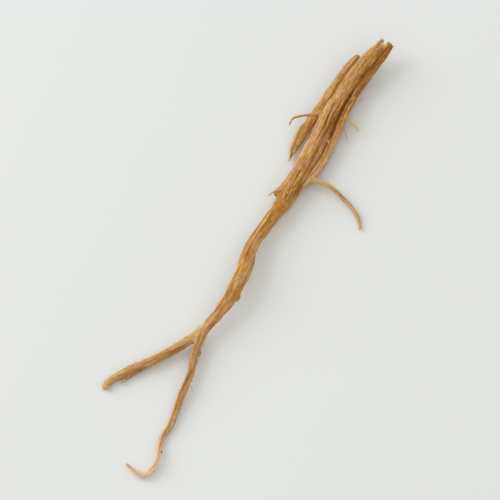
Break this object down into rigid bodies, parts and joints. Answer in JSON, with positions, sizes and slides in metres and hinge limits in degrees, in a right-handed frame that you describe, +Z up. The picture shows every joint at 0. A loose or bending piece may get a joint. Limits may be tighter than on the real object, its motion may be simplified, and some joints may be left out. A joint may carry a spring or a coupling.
{
  "type": "dried ginseng root",
  "caption": "Dried ginseng root lying on its side, with a furrowed body, side strands grown along it, blunt head, forked legs and fine rootlets.",
  "frame": {"origin": "centre of the bounding box, on the surface that the root lies on", "axes": "+Z up from the surface, +Y along the root from its legs towards its head, +X to the right as seen from the legs"},
  "size_m": [0.0832, 0.1394, 0.0071],
  "materials": {
    "dried_root": "matt, dry skin with a faint waxy sheen"
  },
  "bodies": {
    "root": {"root": "dried_root"}
  },
  "joints": []
}
